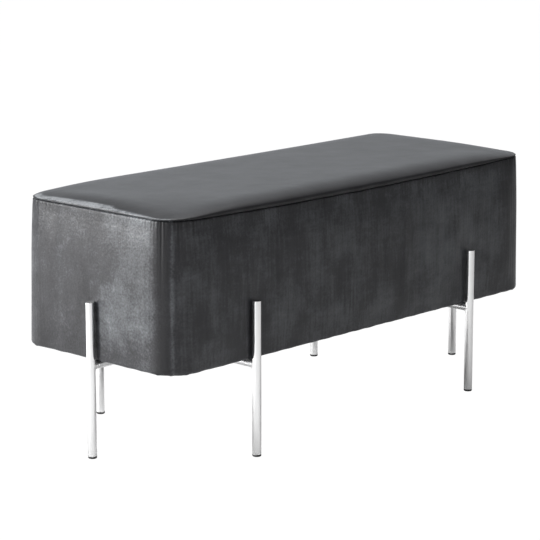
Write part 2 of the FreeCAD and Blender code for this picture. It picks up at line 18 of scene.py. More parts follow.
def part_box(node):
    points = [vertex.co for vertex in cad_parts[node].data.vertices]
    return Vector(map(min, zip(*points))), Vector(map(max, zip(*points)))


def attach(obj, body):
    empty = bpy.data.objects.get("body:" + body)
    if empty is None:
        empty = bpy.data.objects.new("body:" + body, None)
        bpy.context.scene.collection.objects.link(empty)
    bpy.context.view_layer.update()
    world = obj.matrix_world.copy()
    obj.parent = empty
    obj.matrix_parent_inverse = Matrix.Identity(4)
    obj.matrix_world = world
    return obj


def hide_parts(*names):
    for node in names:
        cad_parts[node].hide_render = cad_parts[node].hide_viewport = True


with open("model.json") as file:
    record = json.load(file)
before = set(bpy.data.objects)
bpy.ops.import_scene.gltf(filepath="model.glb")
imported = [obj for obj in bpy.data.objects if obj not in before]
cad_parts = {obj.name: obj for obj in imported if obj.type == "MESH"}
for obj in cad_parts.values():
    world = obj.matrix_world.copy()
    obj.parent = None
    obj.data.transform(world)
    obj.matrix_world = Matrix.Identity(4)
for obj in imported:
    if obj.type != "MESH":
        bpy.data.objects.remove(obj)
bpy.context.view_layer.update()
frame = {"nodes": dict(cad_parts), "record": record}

# %% [markdown]
# ## The seat's outline
# Seen from above the seat is a rectangle with round corners. Velvet follows that outline all the
# way round, so the outline is worked out once, as columns: a point, the way outwards, and the
# distance along. Any loop of the velvet is the same columns drawn in by some inset. A bevelled
# cube could give the same outline, but its faces would not run with the seam and the hem.

# %% Sizes of the seat
MM = 0.001

band_low, band_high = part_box("side_cover")
half_length = band_high.x
half_width = band_high.y
hem_height = band_low.z
seam_height = band_high.z
crown_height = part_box("top_cover")[1].z
corner_radius = 58 * MM
print("seat:", round(2 * half_length, 4), "x", round(2 * half_width, 4), "m")
print("seam at", round(seam_height, 4), "m")


# %% Columns round the outline
def seat_outline(step):
    """Points, outward directions and distance along the outline, anticlockwise from the front."""
    reach = {0: half_length - corner_radius, 1: half_width - corner_radius}
    out = {0: half_width, 1: half_length}
    turn_count = round(math.pi / 2 * corner_radius / step)
    turns = np.linspace(0, math.pi / 2, turn_count + 1)[1:-1, None]
    points = []
    outwards = []
    for side in range(4):
        angle = (side - 1) * math.pi / 2
        outward = np.array([math.cos(angle), math.sin(angle)])
        forward = np.array([-math.sin(angle), math.cos(angle)])
        length = reach[side % 2]
        count = round(2 * length / step)
        run = np.linspace(-length, length, count + 1)[:, None]
        points.append(outward * out[side % 2] + forward * run)
        outwards.append(np.repeat(outward[None], count + 1, axis=0))
        centre = outward * (out[side % 2] - corner_radius) + forward * length
        direction = np.cos(turns) * outward + np.sin(turns) * forward
        points.append(centre + corner_radius * direction)
        outwards.append(direction)
    points = np.concatenate(points)
    outwards = np.concatenate(outwards)
    gaps = np.linalg.norm(np.roll(points, -1, axis=0) - points, axis=1)
    along = np.concatenate([[0], np.cumsum(gaps)[:-1]])
    return points, outwards, along, gaps.sum()


# %% [markdown]
# ## How tight velvet really lies
# Stretched velvet is never dead flat. The sides stand out a little in the middle, the seam is
# pulled in and rides higher at the two ends, each stitch gathers a small pucker, the hem waves
# between its staples, and the tubes press a shallow groove. Sculpting could add these, but a few
# formulas keep them even and easy to change. All of them are functions of the distance along the
# outline, so they close on themselves after one turn.

# %% Gentle waves along a closed outline
def waves(along, total, shortest, longest, seed):
    """A smooth random wave of about unit height that repeats after one turn of the outline."""
    chance = np.random.RandomState(seed)
    counts = np.unique(np.linspace(total / longest, total / shortest, 12).round())
    wave = np.zeros_like(along)
    for count in counts:
        size = chance.uniform(0.5, 1)
        wave += size * np.cos(2 * math.pi * count * along / total + chance.uniform(0, 6.28))
    return wave / math.sqrt(len(counts) / 3)


# %% Height of the seam
seam_dip = 3.5 * MM
seam_corner_rise = 7.5 * MM
seam_tilt = 1.5 * MM


def seam_lift(points):
    """How far the seam rides over its height in the model: low in mid length, high at both ends."""
    share = points[:, 0] / half_length
    return seam_corner_rise * share ** 2 + seam_tilt * share - seam_dip


# %% Puckers of the stitches
stitch_step = 7.5 * MM
pucker_width = 1.6 * MM
corner_zone = 90 * MM


def puckers(points, along, total, below, seed):
    """Depth of the small gathers at some distances below the seam, deeper round the corners."""
    chance = np.random.RandomState(seed)
    count = round(total / stitch_step)
    places = (np.arange(count) + chance.uniform(-0.3, 0.3, count)) * stitch_step
    strength = chance.uniform(0.25, 1, count)
    reach = chance.uniform(4, 11, count) * MM
    long_ones = chance.uniform(0, 1, count) > 0.93
    reach[long_ones] *= 2.5
    corner_x = np.clip(np.abs(points[:, 0]) - (half_length - corner_zone), 0, None) / corner_zone
    corner_y = np.clip(np.abs(points[:, 1]) - (half_width - corner_zone), 0, None) / corner_zone
    at_corner = np.interp(places % total, along, np.clip(2.2 * corner_x * corner_y, 0, 1))
    strength *= 0.8 + 1.3 * at_corner
    reach *= 1 + 1.5 * at_corner
    away = (along[:, None] - places[None] + total / 2) % total - total / 2
    across = strength * np.exp(-(away / pucker_width) ** 2)
    fade = np.exp(-np.asarray(below)[:, None] / reach[None])
    return fade @ across.T


# %% Where the legs press
def leg_press(points, outwards):
    """For each column, the distance sideways to the nearest leg that touches this side."""
    nearest = np.full(len(points), 1.0)
    for name in frame["nodes"]:
        if not name.startswith("leg_"):
            continue
        low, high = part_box(name)
        axis = np.array([(low.x + high.x) / 2, (low.y + high.y) / 2])
        offset = points - axis
        sideways = np.abs(offset[:, 0] * outwards[:, 1] - offset[:, 1] * outwards[:, 0])
        close = np.linalg.norm(offset, axis=1) < 60 * MM
        nearest = np.where(close, np.minimum(nearest, sideways), nearest)
    return nearest


leg_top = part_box("leg_front_left")[1].z
print("legs end at", round(leg_top, 4), "m")

# %% [markdown]
# ## Pile strokes, painted light and painted shade
# Pile that leans towards the light looks pale, and pile that leans away looks dark. In the
# photograph this seems to show as broad soft patches and a few finger strokes over the end leg.
# The same value also carries painted light and shade: a painted highlight and a band of painted
# shade at the near corner, a painted highlight over and under the left seam, painted shade along
# the seams, in the puckers and at the right end of the front, and painted light on the top's
# rounding. Four values kept at each point of the velvet say how far the pile is swept together
# with this painted light, how ruffled it is, how strong the broad patches are and how far it is
# combed downwards. A painted picture could say the same, but formulas need no file. The shader
# reads all four.

# %% Pile strokes with painted light and shade
def ease(values, start, stop):
    """A smooth step from 0 at the start to 1 at the stop."""
    share = np.clip((values - start) / (stop - start), 0, 1)
    return share * share * (3 - 2 * share)


def finger_stroke(across, height, start, stop, width):
    """A soft stroke from one place to another on a side, as a value from 0 to 1."""
    run = stop - start
    offset = np.stack([across, height], axis=-1) - start
    share = np.clip(offset @ run / (run @ run), 0, 1)
    away = np.linalg.norm(offset - share[..., None] * run, axis=-1)
    return np.exp(-(away / width) ** 2)


finger_width = 4.5 * MM
finger_strength = 0.6
horseshoe = ((9, 290), (3, 316), (-13, 322), (-25, 308), (-26, 290))
finger_strokes = [(start, stop, 0.30) for start, stop in zip(horseshoe, horseshoe[1:])]
finger_strokes += [((34, 342), (25, 309), 0.28), ((-57, 322), (-52, 306), 0.25)]
finger_strokes += [((84, 252), (80, 228), 0.2), ((-40, 262), (-44, 200), 0.28)]
finger_strokes += [((60, 385), (92, 360), 0.2), ((108, 300), (102, 270), 0.15)]
print("finger strokes on the left end:", len(finger_strokes))


def side_pile(rings, outwards):
    """How far the pile of each point on the sides is swept, ruffled and combed, with painted light and
    shade in the first value.
    """
    x = rings[..., 0]
    y = rings[..., 1]
    z = rings[..., 2]
    left_end = ease(-outwards[:, 0], 0.75, 0.98)[None] * np.ones_like(x)
    under_seam = np.exp(-(seam_height - z) / (22 * MM))
    toward_near = ease(-y, -60 * MM, 120 * MM)
    low_part = ease(-z, -260 * MM, -190 * MM)
    # On the left end: lighter towards the near corner and darker towards the bottom.
    stroked = left_end * (0.38 * toward_near - 0.14 - 0.12 * low_part)
    # Painted highlight on the left end just under the seam, fading downwards.
    stroked += left_end * 0.15 * under_seam * ease(-y, -150 * MM, 0)
    for start, stop, amount in finger_strokes:
        mark = finger_stroke(y, z, np.array(start) * MM, np.array(stop) * MM, finger_width)
        stroked += left_end * finger_strength * amount * mark
    # Round the near left corner: a painted highlight stripe and a broader band of painted shade, set by the
    # angle of the turn.
    turn = np.degrees(np.arctan2(-outwards[:, 1], -outwards[:, 0]))
    painted_corner_highlight = np.exp(-((turn - 45) / 4) ** 2)[None] * (x < 0)
    painted_corner_shade = np.exp(-((turn - 27) / 16) ** 2)[None] * (x < 0)
    stroked += 0.42 * painted_corner_highlight - 0.65 * painted_corner_shade
    front = ease(-outwards[:, 1], 0.7, 1.0)[None] * np.ones_like(x)
    # The front is a little lighter from its middle to near its right end; painted shade darkens its last
    # part towards the right corner.
    stroked += front * 0.12 * ease(x, 40 * MM, 240 * MM) * (1 - ease(x, 330 * MM, 440 * MM))
    stroked -= front * 0.26 * ease(x, 360 * MM, 470 * MM)
    # Painted shade in the roll just under the seam on the front, deeper towards the right.
    painted_shade_under_seam = np.exp(-((seam_height - z) / (11 * MM)) ** 2)
    stroked -= front * painted_shade_under_seam * (0.12 + 0.22 * ease(x, -100 * MM, 300 * MM))
    ruffled = 0.35 + 0.65 * left_end + 0.3 * under_seam + 0.5 * painted_corner_highlight
    combed = 1 - 0.85 * left_end
    return stroked, ruffled, combed


def keep_values(piece, **values):
    """Store values at the points of a piece under their names."""
    for name, numbers in values.items():
        attribute = piece.data.attributes.new(name, "FLOAT", "POINT")
        attribute.data.foreach_set("value", np.ascontiguousarray(numbers, dtype=np.float32).ravel())


# %% [markdown]
# ## From rings of points to a mesh
# Both velvet pieces are stacks of rings. Each ring has one point per column, and neighbouring
# rings are joined by four-cornered faces. Writing the points and faces straight into a mesh is
# quicker than modelling tools for many thousand points, and every point stays where the formulas
# put it.


# %% A piece of the bench from points and faces
def make_piece(name, points, faces, node_names=()):
    """A smooth-shaded object that rides on the bench and may stand for some nodes of the model."""
    mesh = bpy.data.meshes.new(name)
    mesh.from_pydata([tuple(point) for point in points], [], [tuple(face) for face in faces])
    mesh.validate()
    mesh.shade_smooth()
    piece = bpy.data.objects.new(name, mesh)
    bpy.context.scene.collection.objects.link(piece)
    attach(piece, "root")
    if node_names:
        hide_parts(*node_names)
    return piece


def ring_points(points, outwards, inset, height):
    """The columns drawn in by some inset and set at some height, ring by ring."""
    plan = points[None] - outwards[None] * inset[..., None]
    return np.concatenate([plan, height[..., None]], axis=-1)


def ring_faces(ring_count, columns, closed=False):
    """Faces between stacked rings, whose first ring is the lowest on the outside."""
    faces = []
    last = ring_count if closed else ring_count - 1
    column = np.arange(columns)
    following = (column + 1) % columns
    for ring in range(last):
        here = ring * columns
        above = ((ring + 1) % ring_count) * columns
        faces.append(np.stack([here + column, here + following, above + following, above + column], axis=1))
    return np.concatenate(faces)


# %% [markdown]
# ## Letting the velvet swell
# The wadding pushes the velvet out wherever neither seam, hem nor leg holds it. A cloth
# simulation finds that shape better than a formula. It runs on a coarse copy with about one point
# per square centimetre, with gravity off and a little pressure from inside, for twenty frames.
# The coarse copy is thrown away. Only how far each of its points moved is kept, capped at a few
# millimetres, and the fine mesh moves by the average of its neighbours there.

# %% Run the cloth on a coarse copy
cloth_frames = 20
cloth_pressure = 4.0
cloth_mass = 0.3
cloth_stiffness = 15


def swell_of(points, faces, held, most):
    """How far each point of a coarse velvet moves when it is padded, at most by some length."""
    mesh = bpy.data.meshes.new("coarse_velvet")
    mesh.from_pydata([tuple(point) for point in points], [], [tuple(face) for face in faces])
    coarse = bpy.data.objects.new("coarse_velvet", mesh)
    bpy.context.scene.collection.objects.link(coarse)
    group = coarse.vertex_groups.new(name="held")
    for index in np.nonzero(held)[0]:
        group.add([int(index)], 1.0, "REPLACE")
    cloth = coarse.modifiers.new("cloth", "CLOTH")
    settings = cloth.settings
    settings.vertex_group_mass = "held"
    settings.quality = 6
    settings.mass = cloth_mass
    settings.tension_stiffness = cloth_stiffness
    settings.compression_stiffness = cloth_stiffness
    settings.bending_stiffness = 1.0
    settings.use_pressure = True
    settings.uniform_pressure_force = cloth_pressure
    settings.effector_weights.gravity = 0
    cloth.collision_settings.use_collision = False
    for frame_number in range(1, cloth_frames + 1):
        bpy.context.scene.frame_set(frame_number)
    dressed = coarse.evaluated_get(bpy.context.evaluated_depsgraph_get())
    settled = np.empty(len(points) * 3)
    dressed.data.vertices.foreach_get("co", settled)
    moved = settled.reshape(-1, 3) - np.asarray(points)
    length = np.linalg.norm(moved, axis=1, keepdims=True)
    moved *= np.minimum(1, most / np.maximum(length, 1e-9))
    print("velvet swells by", round(length.max() / MM, 2), "mm, kept at", round(most / MM, 2), "mm at most")
    bpy.data.objects.remove(coarse)
    bpy.data.meshes.remove(mesh)
    bpy.context.scene.frame_set(1)
    return moved


# %% Carry the swelling over to the fine mesh
def carry_over(coarse_points, moved, fine_points, neighbours=6):
    """The coarse movement at each fine point, as a weighted average of the nearest coarse points."""
    tree = KDTree(len(coarse_points))
    for index, point in enumerate(coarse_points):
        tree.insert(point, index)
    tree.balance()
    result = np.zeros((len(fine_points), 3))
    for index, point in enumerate(fine_points):
        found = tree.find_n(point, neighbours)
        weights = np.array([1 / (distance + 2 * MM) ** 2 for _, _, distance in found])
        moves = moved[[number for _, number, _ in found]]
        result[index] = weights @ moves / weights.sum()
    return result


# %% [markdown]
# ## The velvet round the sides
# On the real bench this is one long strip, sewn to the top panel, pulled down over the wadding
# and stapled under the boards. Here it is one closed ring: the hem underneath, a rounded lower
# edge, the full side, the roll in to the seam, and an inner wall against the boards. Rings lie
# close together at the seam, where the puckers are, and further apart on the plain side.

# %% Profile of the side velvet
hem_radius = 6 * MM
hem_sag = 2 * MM
hem_draw = 0.4 * MM
hem_reach = 25 * MM
cover_thick = 2 * MM
wall_inset = 12.3 * MM
wall_middle = 330 * MM
full_share = 0.45
top_draw = 3.5 * MM
roll_height = 3.5 * MM
groove_inset = 8 * MM


def side_profile():
    """Inset and height of each ring of the side velvet, from the hem's inner edge, outside first."""
    low = hem_height - hem_sag
    rings = [(hem_reach, hem_height), (20 * MM, hem_height - 0.1 * MM), (16.5 * MM, hem_height - 0.6 * MM)]
    rings += [(14 * MM, hem_height - 1.6 * MM), (11 * MM, low + 0.6 * MM), (8.5 * MM, low + 0.1 * MM)]
    for degrees in range(0, 90, 12):
        angle = math.radians(degrees)
        inset = hem_draw + hem_radius * (1 - math.sin(angle))
        rings.append((inset, low + hem_radius * (1 - math.cos(angle))))
    start = low + hem_radius
    end = seam_height - roll_height
    steps = np.concatenate([np.linspace(0, 0.78, 32)[:-1], np.linspace(0.78, 1, 24)])
    for share in steps:
        if share < full_share:
            draw = hem_draw * (1 - share / full_share) ** 2
        else:
            draw = top_draw * ((share - full_share) / (1 - full_share)) ** 2
        rings.append((draw, start + share * (end - start)))
    for degrees in range(15, 91, 15):
        angle = math.radians(degrees)
        inset = top_draw + (groove_inset - top_draw) * (1 - math.cos(angle))
        rings.append((inset, end + (roll_height - 0.4 * MM) * math.sin(angle)))
    rings.append((wall_inset, seam_height - 1 * MM))
    outside = len(rings)
    rings.append((wall_inset, wall_middle))
    rings.append((wall_inset, hem_height + cover_thick))
    rings.append((hem_reach, hem_height + cover_thick))
    return np.array(rings), outside


side_rings, side_outside = side_profile()
print("side velvet:", len(side_rings), "rings,", side_outside, "of them outside")

# %% How full each corner is, and how far it widens downwards
corner_fullness = {(-1, -1): 0.0, (1, -1): 0.0, (1, 1): 1.0 * MM, (-1, 1): 4.7 * MM}
corner_flare = 3.0 * MM
fullness_reach = 42 * MM
middle_cut = corner_radius * (1 - math.sqrt(0.5))


def near_corner(points, side_x, side_y):
    """One in the middle of a corner's bend, fading away from it."""
    middle = np.array([side_x * (half_length - middle_cut), side_y * (half_width - middle_cut)])
    return np.exp(-(np.linalg.norm(points - middle, axis=1) / fullness_reach) ** 2)


def near_corners(points):
    """The same for all four corners at once."""
    return sum(near_corner(points, *corner) for corner in corner_fullness)


def fullness(points):
    """How far each column stands out of the plain outline: some corners are padded fuller."""
    return sum(amount * near_corner(points, *corner) for corner, amount in corner_fullness.items())


# %% Small pleats of the turned hem at the corners
pleat_width = 3.4 * MM


def pleats(points):
    """Height of the small folds that the turned hem makes round each corner, from 0 to 1."""
    bumps = np.zeros(len(points))
    reach = np.array([half_length - corner_radius, half_width - corner_radius])
    for side_x, side_y in corner_fullness:
        centre = reach * (side_x, side_y)
        for turn, amount in ((-28, 0.8), (-3, 1.0), (26, 0.9)):
            angle = math.atan2(side_y, side_x) + math.radians(turn)
            spot = centre + corner_radius * np.array([math.cos(angle), math.sin(angle)])
            away = np.linalg.norm(points - spot, axis=1)
            bumps += amount * np.exp(-(away / pleat_width) ** 2)
    return bumps


# %% Tops of the bars under the hem
bar_names = ("crossbar_left", "crossbar_right", "strut_left", "strut_right")


def bar_tops(places):
    """Height of the top of the tube under each point, or 0 where there is none."""
    top = np.zeros(places.shape[:-1])
    for name in bar_names:
        low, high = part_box(name)
        radius = (high.z - low.z) / 2
        if name.startswith("crossbar"):
            away = np.abs(places[..., 0] - (low.x + high.x) / 2)
        else:
            away = np.abs(places[..., 1] - (low.y + high.y) / 2)
            away = np.where(places[..., 0] * (low.x + high.x) > 0, away, 1.0)
        rise = np.sqrt(np.clip(radius ** 2 - away ** 2, 0, None))
        top = np.maximum(top, np.where(away < radius, (low.z + high.z) / 2 + rise, 0))
    return top


# %% Swelling of the sides
side_swell_most = 3 * MM
face_inset = 3.6 * MM
side_face = (side_rings[:, 0] < face_inset) & (np.arange(len(side_rings)) < side_outside)


def swell_sides():
    """Coarse points of the side velvet and how far each swells, held at hem, seam and legs."""
    points, outwards = seat_outline(9 * MM)[:2]
    columns = len(points)
    face_insets, face_heights = side_rings[side_face].T
    levels = np.linspace(face_heights.min(), face_heights.max(), 28)
    draws = np.interp(levels, face_heights, face_insets)
    inset = np.repeat(draws[:, None], columns, axis=1)
    rings = ring_points(points, outwards, inset, np.repeat(levels[:, None], columns, axis=1))
    held = np.zeros((len(levels), columns), dtype=bool)
    held[:2] = True
    held[-2:] = True
    held |= (leg_press(points, outwards) < 14 * MM)[None] & (levels < leg_top + 8 * MM)[:, None]
    coarse = rings.reshape(-1, 3)
    moved = swell_of(coarse, ring_faces(len(levels), columns), held.ravel(), side_swell_most)
    return coarse, moved


coarse_sides, sides_moved = swell_sides()


# %% Displace and build the side velvet
gather_depth = 1.1 * MM
leg_groove = 1.3 * MM
leg_ridge = 0.5 * MM
bar_gap = 0.15 * MM


def make_side_velvet():
    """The rings of the side velvet, moved by everything that stretches and presses it."""
    points, outwards, along, total = seat_outline(2 * MM)
    columns = len(points)
    inset = np.repeat(side_rings[:, 0][:, None], columns, axis=1)
    height = np.repeat(side_rings[:, 1][:, None], columns, axis=1)
    up = np.clip((height - hem_height) / (seam_height - hem_height), 0, 1)
    outer = (np.arange(len(side_rings)) < side_outside)[:, None]
    swell = np.sin(math.pi * up)
    inset -= outer * 0.45 * MM * waves(along, total, 70 * MM, 400 * MM, 3) * swell
    inset -= outer * 0.2 * MM * waves(along, total, 25 * MM, 60 * MM, 4) * swell
    inset -= outer * fullness(points) * (1 - 0.45 * up ** 3)
    inset -= outer * corner_flare * near_corners(points) * (0.5 - up)
    below = np.clip(seam_height - side_rings[:, 1], 0, None)
    gathers = outer * puckers(points, along, total, below, 11)
    inset += gather_depth * gathers
    press = leg_press(points, outwards)
    low_leg = np.clip((leg_top + 6 * MM - height) / (14 * MM), 0, 1)
    inset += outer * low_leg * leg_groove * np.exp(-(press / (9 * MM)) ** 2)
    inset -= outer * low_leg * leg_ridge * np.exp(-((press - 18 * MM) / (6 * MM)) ** 2)
    hem_share = np.clip(1 - (height - (hem_height - hem_sag)) / (12 * MM), 0, 1) * outer
    hem_share *= (side_rings[:, 0] < 15 * MM)[:, None]
    height += hem_share * 0.25 * MM * waves(along, total, 30 * MM, 120 * MM, 5)
    height -= hem_share * 0.8 * MM * pleats(points)
    inset -= hem_share * 0.6 * MM * pleats(points)
    height += up ** 2 * seam_lift(points)
    rings = ring_points(points, outwards, inset, height)
    swelling = carry_over(coarse_sides, sides_moved, rings[side_face].reshape(-1, 3))
    rings[side_face] += swelling.reshape(-1, columns, 3)
    rings[..., 2] = np.maximum(rings[..., 2], bar_tops(rings[..., :2]) + bar_gap)
    faces = ring_faces(len(side_rings), columns, closed=True)
    piece = make_piece("side_velvet", rings.reshape(-1, 3), faces, ("side_cover", "wadding"))
    stroked, ruffled, combed = side_pile(rings, outwards)
    # Painted shade in the folds of the puckers; the whole side is lifted a little.
    stroked += 0.07 - 0.5 * gathers
    keep_values(piece, stroked=stroked, ruffled=ruffled, brushed=0.5 + 0.6 * ruffled, combed=combed)
    return piece


side_velvet = make_side_velvet()
print("side velvet:", len(side_velvet.data.polygons), "faces")

# %% [markdown]
# ## The padded top
# The top is a crowned cushion: velvet over wadding over a foam slab. It rises steeply from the
# seam, rounds over within a few centimetres and is almost flat in the middle. The rings go in as
# far as the centres of the corners. From there a plain grid fills the middle, because rings that
# go on shrinking would end in needle-thin faces.

# %% Profile of the padded top
edge_inset = 3.5 * MM
crown_reach = 60 * MM
edge_roll = 2.2 * MM
foam_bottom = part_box("deck_board")[1].z
foam_inset = 12.6 * MM
crown_extra = 1.5 * MM
crown_rise = crown_height + crown_extra - seam_height
corner_drop = 0.5
corner_drop_reach = 100 * MM
side_fullness = 2.6
end_fullness = 1.85


def crown(distance, fullness):
    """Share of the crown's rise at some distance in from the outline, steep first and then flat."""
    share = np.clip((distance - edge_inset) / crown_reach, 0, 1)
    return (1 - (1 - share) ** fullness) ** (1 / fullness)


def near_sharp_corner(x, y):
    """One where two sides would meet, fading over the corner. The back right one stays full."""
    away = np.hypot(half_length - np.abs(x), half_width - np.abs(y))
    full_corner = (x > 0) & (y > 0)
    return np.exp(-(away / corner_drop_reach) ** 2) * (1 - full_corner)


def top_profile():
    """Inset and height of each ring of the padded top, from the deck up and then in."""
    rings = [(foam_inset, foam_bottom), (foam_inset, seam_height - 6 * MM), (foam_inset, seam_height)]
    for degrees in (90, 60, 30):
        angle = math.radians(degrees)
        inset = edge_inset + (groove_inset - edge_inset) * (1 - math.cos(angle))
        rings.append((inset, seam_height + edge_roll * (1 - math.sin(angle)) + 0.4 * MM))
    for degrees in np.linspace(16, 85, 26):
        inset = edge_inset + crown_reach * (1 - math.cos(math.radians(degrees)))
        if inset < corner_radius - 1 * MM:
            rings.append((inset, seam_height))
    rings.append((corner_radius, seam_height))
    return np.array(rings)


top_rings = top_profile()
print("padded top:", len(top_rings), "rings")


# %% Pile of the top, with painted light and shade
strip_places = np.array((-200, -45, -35, 200)) * MM
strip_tops = np.array((8, 12, 18, 19)) * MM


def top_pile(points):
    """How far the pile of the top is swept and ruffled, with a painted highlight over the left seam and
    painted shade.
    """
    past_x = np.abs(points[:, 0]) - (half_length - corner_radius)
    past_y = np.abs(points[:, 1]) - (half_width - corner_radius)
    reach = np.hypot(np.clip(past_x, 0, None), np.clip(past_y, 0, None))
    inward = corner_radius - reach - np.clip(np.maximum(past_x, past_y), None, 0)
    faces_left = ease(np.clip(past_x, 0, None) / np.maximum(reach, MM), 0.5, 0.8)
    faces_left *= points[:, 0] < 0
    past_strip = inward - np.interp(points[:, 1], strip_places, strip_tops)
    # Painted highlight strip over the left seam, with a band of painted shade above it.
    strip = ease(inward, 4 * MM, 7 * MM) * (1 - ease(past_strip, -4 * MM, 4 * MM))
    shade = ease(past_strip, -1 * MM, 4 * MM) * (1 - ease(past_strip, 14 * MM, 34 * MM))
    # Painted shade right at the seam all round, and painted light lifting the rounding above the seam away
    # from the left end.
    seam_shade = 1 - ease(inward, 3 * MM, 7 * MM)
    steep = ease(inward, 5 * MM, 8 * MM) * (1 - ease(inward, 14 * MM, 26 * MM))
    stroked = faces_left * (1.00 * strip - 0.30 * shade) - 0.3 * seam_shade
    stroked += (1 - faces_left) * 0.14 * steep
    # The whole top is set a little darker, with more painted shade near the seam away from the left end.
    stroked -= 0.16 + 0.06 * (1 - faces_left) * (1 - ease(inward, 4 * MM, 20 * MM))
    ruffled = 0.05 + faces_left * (1.5 * strip + 0.3 * shade)
    return stroked, ruffled


# %% Build the padded top
def make_padded_top():
    """The rings of the top, the grid in their middle, and the underside on the deck."""
    points, outwards, along, total = seat_outline(3 * MM)
    columns = len(points)
    inset = np.repeat(top_rings[:, 0][:, None], columns, axis=1)
    height = np.repeat(top_rings[:, 1][:, None], columns, axis=1)
    toward_end = outwards[:, 0] ** 2
    rise = crown(inset, end_fullness) ** toward_end * crown(inset, side_fullness) ** (1 - toward_end)
    rise[:6] = 0
    plan = points[None] - outwards[None] * inset[..., None]
    height += crown_rise * rise * (1 - corner_drop * near_sharp_corner(plan[..., 0], plan[..., 1]))
    above = np.clip(height - seam_height, 0, None)
    visible = (np.arange(len(top_rings)) > 2)[:, None]
    low = np.clip(1 - rise, 0, 1)
    inset += visible * 0.35 * MM * puckers(points, along, total, above.mean(axis=1), 21)
    inset -= visible * 0.4 * MM * waves(along, total, 60 * MM, 300 * MM, 6) * low
    inset -= visible * fullness(points) * 0.55 * low
    inset += visible * corner_flare * 0.5 * near_corners(points) * low
    height += low * seam_lift(points)
    rings = ring_points(points, outwards, inset, height)
    outer_points = rings[:-1].reshape(-1, 3)
    faces = [tuple(face) for face in ring_faces(len(top_rings) - 1, columns)]
    columns_x = np.unique(points[outwards[:, 1] < -0.9999][:, 0].round(7))
    columns_y = np.unique(points[outwards[:, 0] > 0.9999][:, 1].round(7))
    first = len(outer_points)
    grid_x, grid_y = np.meshgrid(columns_x, columns_y, indexing="ij")
    end_rise = crown(half_length - np.abs(grid_x), end_fullness)
    side_rise = crown(half_width - np.abs(grid_y), side_fullness)
    low_corners = 1 - corner_drop * near_sharp_corner(grid_x, grid_y)
    grid_z = seam_height + crown_rise * end_rise * side_rise * low_corners
    grid_points = np.stack([grid_x, grid_y, grid_z], axis=-1).reshape(-1, 3)
    count_y = len(columns_y)

    def grid_index(point):
        column = int(np.argmin(np.abs(columns_x - point[0])))
        row = int(np.argmin(np.abs(columns_y - point[1])))
        return first + column * count_y + row

    inner = [grid_index(point) for point in rings[-1][:, :2]]
    last = (len(top_rings) - 2) * columns
    for column in range(columns):
        following = (column + 1) % columns
        face = [last + column, last + following, inner[following], inner[column]]
        if inner[following] == inner[column]:
            face.pop()
        faces.append(tuple(face))
    for i in range(len(columns_x) - 1):
        for j in range(count_y - 1):
            corner = first + i * count_y + j
            faces.append((corner, corner + count_y, corner + count_y + 1, corner + 1))
    faces.append(tuple(range(columns - 1, -1, -1)))
    everything = np.concatenate([outer_points, grid_points])
    piece = make_piece("padded_top", everything, faces, ("top_cover", "seat_foam"))
    stroked, ruffled = top_pile(everything)
    combed = np.full(len(everything), 0.15)
    keep_values(piece, stroked=stroked, ruffled=ruffled, brushed=0.35 + 0.6 * ruffled, combed=combed)
    return piece


padded_top = make_padded_top()
print("padded top:", len(padded_top.data.polygons), "faces")

# %% [markdown]
# ## The sheet under the seat
# Black fibre sheet closes the box from below. It is stapled over the hem and hangs a millimetre
# or two lower between the tubes. A grid with slow waves is enough, kept flat where they pass.

# %% Build the sheet
sheet_low, sheet_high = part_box("dust_cover")
sheet_corner = 38 * MM


def rounded_place(share_x, share_y):
    """A place on the sheet from two shares of it, drawn in at the round corners."""
    x = share_x * sheet_high.x
    y = share_y * sheet_high.y
    beyond_x = abs(x) - (sheet_high.x - sheet_corner)
    beyond_y = abs(y) - (sheet_high.y - sheet_corner)
    if beyond_x > 0 and beyond_y > 0:
        away = math.hypot(beyond_x, beyond_y)
        pull = max(beyond_x, beyond_y) / away
        x = math.copysign(sheet_high.x - sheet_corner + beyond_x * pull, x)
        y = math.copysign(sheet_high.y - sheet_corner + beyond_y * pull, y)
    return x, y


def make_sheet():
    """The fibre sheet: a thin grid with soft waves between the tubes."""
    step = 6 * MM
    count_x = round((sheet_high.x - sheet_low.x) / step)
    count_y = round((sheet_high.y - sheet_low.y) / step)
    xs = np.linspace(-1, 1, count_x + 1)
    ys = np.linspace(-1, 1, count_y + 1)
    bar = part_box("crossbar_right")
    bar_x = (bar[0].x + bar[1].x) / 2
    points = []
    for share_x in xs:
        for share_y in ys:
            x, y = rounded_place(share_x, share_y)
            edge = min(sheet_high.x - abs(x), sheet_high.y - abs(y)) / (90 * MM)
            from_bar = abs(abs(x) - bar_x) / (60 * MM)
            from_strut = abs(y) / (60 * MM) if abs(x) > bar_x else 1
            free = min(1, edge) * min(1, from_bar) * min(1, from_strut)
            wave = noise.noise(Vector((x * 9, y * 14, 0.3)))
            points.append((x, y, sheet_low.z + 0.2 * MM - free * (1.6 + 1.4 * wave) * MM))
    faces = []
    for i in range(count_x):
        for j in range(count_y):
            corner = i * (count_y + 1) + j
            faces.append((corner, corner + 1, corner + count_y + 2, corner + count_y + 1))
    sheet = make_piece("under_sheet", points, faces, ("dust_cover",))
    thick = sheet.modifiers.new("thickness", "SOLIDIFY")
    thick.thickness = 0.5 * MM
    thick.offset = -1
    return sheet


under_sheet = make_sheet()

# %% [markdown]
# ## Staples and weld beads
# The sheet is held by a row of staples, of which only the crowns show. Where tube meets tube a
# small bead of weld fills the corner and is polished with the tube. Both are small, and the packed
# model has no faces to spare for them, so they are made here: staples as short bent wires, beads
# as part of an ellipsoid whose rim just meets both tubes.

# %% Staples along the sheet
staple_width = 10 * MM
staple_wire = 0.6 * MM
staple_step = 42 * MM


